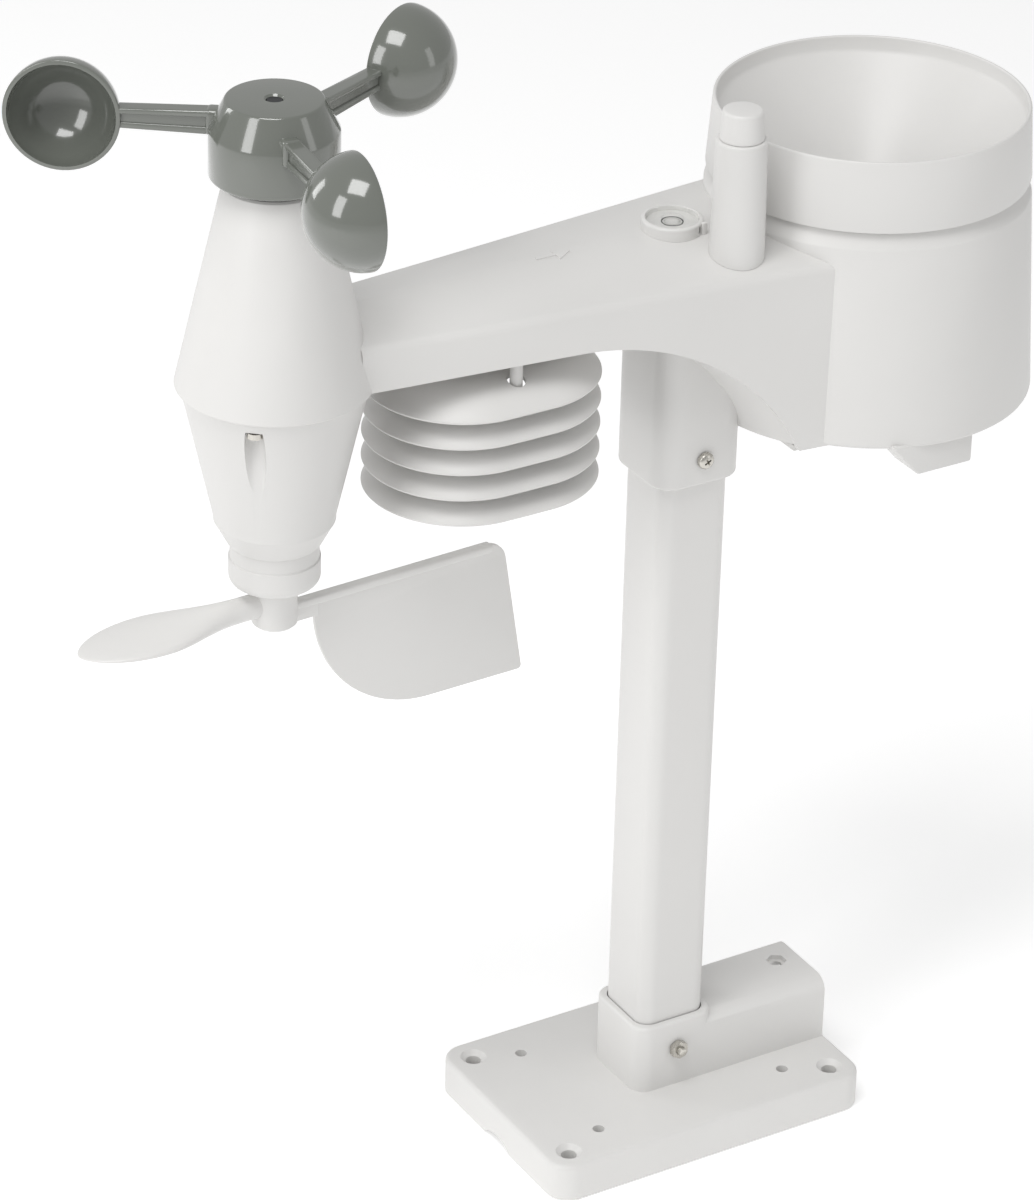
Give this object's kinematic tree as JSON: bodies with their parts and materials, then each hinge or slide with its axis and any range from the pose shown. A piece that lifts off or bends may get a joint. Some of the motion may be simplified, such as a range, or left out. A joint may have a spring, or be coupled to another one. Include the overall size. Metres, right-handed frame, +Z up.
{
  "type": "outdoor weather sensor",
  "caption": "Outdoor weather sensor on a square pole: wind cups, wind vane, tipping-bucket rain gauge, louvred shield and short antenna.",
  "frame": {"origin": "the pole's axis, in the plane the base stands on", "axes": "+Z up the pole, +X along the arm towards the rain gauge, -Y towards the side with the collar screw's head"},
  "size_m": [0.3337, 0.1344, 0.4017],
  "materials": {
    "shell": "moulded",
    "rotor": "polished",
    "steel": "bright",
    "brass": "plain",
    "board": "coated",
    "black": "moulded",
    "clear": "clear",
    "cell": "sleeved",
    "lamp": "clear"
  },
  "bodies": {
    "station": {"mounting_base": "shell", "base_bolt": "steel", "base_nut": "steel", "pole": "shell", "collar_screw": "steel", "collar_nut": "steel", "upper_housing": "shell", "lower_housing": "shell", "antenna_sleeve": "shell", "antenna_cap": "shell", "antenna_rod": "brass", "level_holder": "shell", "level_vial": "clear", "bucket_cradle": "shell", "main_board": "board", "reed_switch": "clear", "status_lamp": "lamp", "button_board": "board", "battery_1": "cell", "battery_2": "cell", "battery_3": "cell", "battery_contact_front": "brass", "battery_contact_rear": "brass", "wind_pod": "shell", "pod_screw_1": "steel", "pod_screw_2": "steel", "pod_screw_3": "steel", "rotor_bearing": "brass", "speed_board": "board", "vane_bearing": "brass", "direction_board": "board", "louvre_1": "shell", "louvre_2": "shell", "louvre_3": "shell", "louvre_4": "shell", "louvre_5": "shell", "shield_post_front": "shell", "shield_post_rear": "shell", "air_sensor_board": "board"},
    "rotor": {"rotor_hub": "rotor", "wind_cup_1": "rotor", "wind_cup_2": "rotor", "wind_cup_3": "rotor", "hub_screw": "black", "rotor_shaft": "steel", "rotor_magnet": "steel"},
    "vane": {"wind_vane": "shell", "vane_shaft": "steel", "vane_magnet": "steel"},
    "bucket": {"tipping_bucket": "black", "bucket_axle": "steel", "bucket_magnet": "steel"},
    "collector": {"rain_collector": "shell"},
    "door": {"battery_door": "shell", "battery_door_screw": "steel"},
    "button": {"reset_button": "black"}
  },
  "joints": [
    {"name": "rotor_spin", "type": "hinge", "parent": "station", "child": "rotor", "pos_m": [-0.1433, 0, 0.38], "axis": [0, 0, 1], "continuous": true},
    {"name": "vane_swing", "type": "hinge", "parent": "station", "child": "vane", "pos_m": [-0.1433, 0, 0.24], "axis": [0, 0, 1], "continuous": true},
    {"name": "bucket_rock", "type": "hinge", "parent": "station", "child": "bucket", "pos_m": [0.0665, 0, 0.2855], "axis": [1, 0, 0], "range_deg": [0, 34]},
    {"name": "collector_lift", "type": "slide", "parent": "station", "child": "collector", "axis": [0, 0, 1], "range_m": [0, 0.06]},
    {"name": "battery_door_slide", "type": "slide", "parent": "station", "child": "door", "axis": [0, 0, -1], "range_m": [0, 0.04]},
    {"name": "reset_press", "type": "slide", "parent": "station", "child": "button", "axis": [0, 0, 1], "range_m": [0, 0.001], "stiffness_N_per_m": 100, "springref_m": -0.001}
  ]
}
